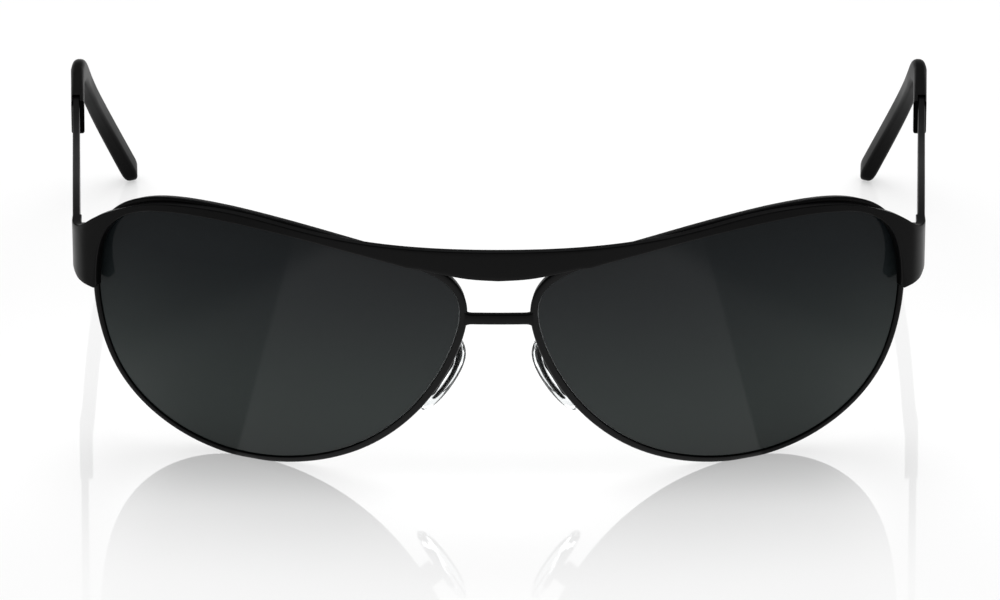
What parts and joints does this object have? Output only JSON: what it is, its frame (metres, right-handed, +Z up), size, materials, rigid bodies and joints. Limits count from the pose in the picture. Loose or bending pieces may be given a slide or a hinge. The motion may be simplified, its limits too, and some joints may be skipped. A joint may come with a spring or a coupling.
{
  "type": "sunglasses",
  "caption": "Wraparound metal sunglasses with a one-piece brow plate, rimmed tinted lenses, a lower bridge bar, rocking nose pads and folding temples.",
  "frame": {"origin": "middle of the footprint on the table, under the middle of the bounding box", "axes": "X across the front, plus X is the wearer's left; minus Y is the way the wearer looks; Z up"},
  "size_m": [0.1496, 0.144, 0.0486],
  "materials": {
    "frame_black": "satin black coating over sheet and wire",
    "hinge_black": "satin black, slightly brighter on turned edges",
    "lens_smoke": "smoke grey gradient, darker at the top, polished",
    "screw_steel": "small turned screws",
    "tip_black": "smooth moulded sleeve with a soft sheen",
    "pad_core_metal": "dark stamped plate seen through the pad",
    "pad_clear": "clear moulded silicone"
  },
  "bodies": {
    "front": {"brow_plate": "frame_black", "eyewire_left": "frame_black", "eyewire_right": "frame_black", "lower_bridge": "frame_black", "lens_left": "lens_smoke", "lens_right": "lens_smoke", "rim_lock_left": "frame_black", "rim_lock_right": "frame_black", "rim_lock_screws": "screw_steel", "pad_arm_left": "frame_black", "pad_arm_right": "frame_black", "pad_box_left": "frame_black", "pad_box_right": "frame_black", "pad_screws": "screw_steel", "hinge_front_left": "hinge_black", "hinge_front_right": "hinge_black", "hinge_screws": "screw_steel"},
    "temple_arm_left": {"temple_left": "frame_black", "hinge_temple_left": "hinge_black", "tip_left": "tip_black"},
    "temple_arm_right": {"temple_right": "frame_black", "hinge_temple_right": "hinge_black", "tip_right": "tip_black"},
    "nose_pad_left": {"pad_core_left": "pad_core_metal", "pad_left": "pad_clear"},
    "nose_pad_right": {"pad_core_right": "pad_core_metal", "pad_right": "pad_clear"}
  },
  "joints": [
    {"name": "temple_left_fold", "type": "hinge", "parent": "front", "child": "temple_arm_left", "pos_m": [0.0673, -0.04288, 0.03469], "axis": [0, 0, 1], "range_deg": [0, 88]},
    {"name": "temple_right_fold", "type": "hinge", "parent": "front", "child": "temple_arm_right", "pos_m": [-0.0673, -0.04288, 0.03469], "axis": [0, 0, -1], "range_deg": [0, 81]},
    {"name": "pad_left_rock", "type": "hinge", "parent": "front", "child": "nose_pad_left", "pos_m": [0.0112, -0.05823, 0.0184], "axis": [0.3486, 0.9135, 0.2095], "range_deg": [-10, 10]},
    {"name": "pad_right_rock", "type": "hinge", "parent": "front", "child": "nose_pad_right", "pos_m": [-0.0112, -0.05823, 0.0184], "axis": [0.3486, -0.9135, -0.2095], "range_deg": [-10, 10]}
  ]
}
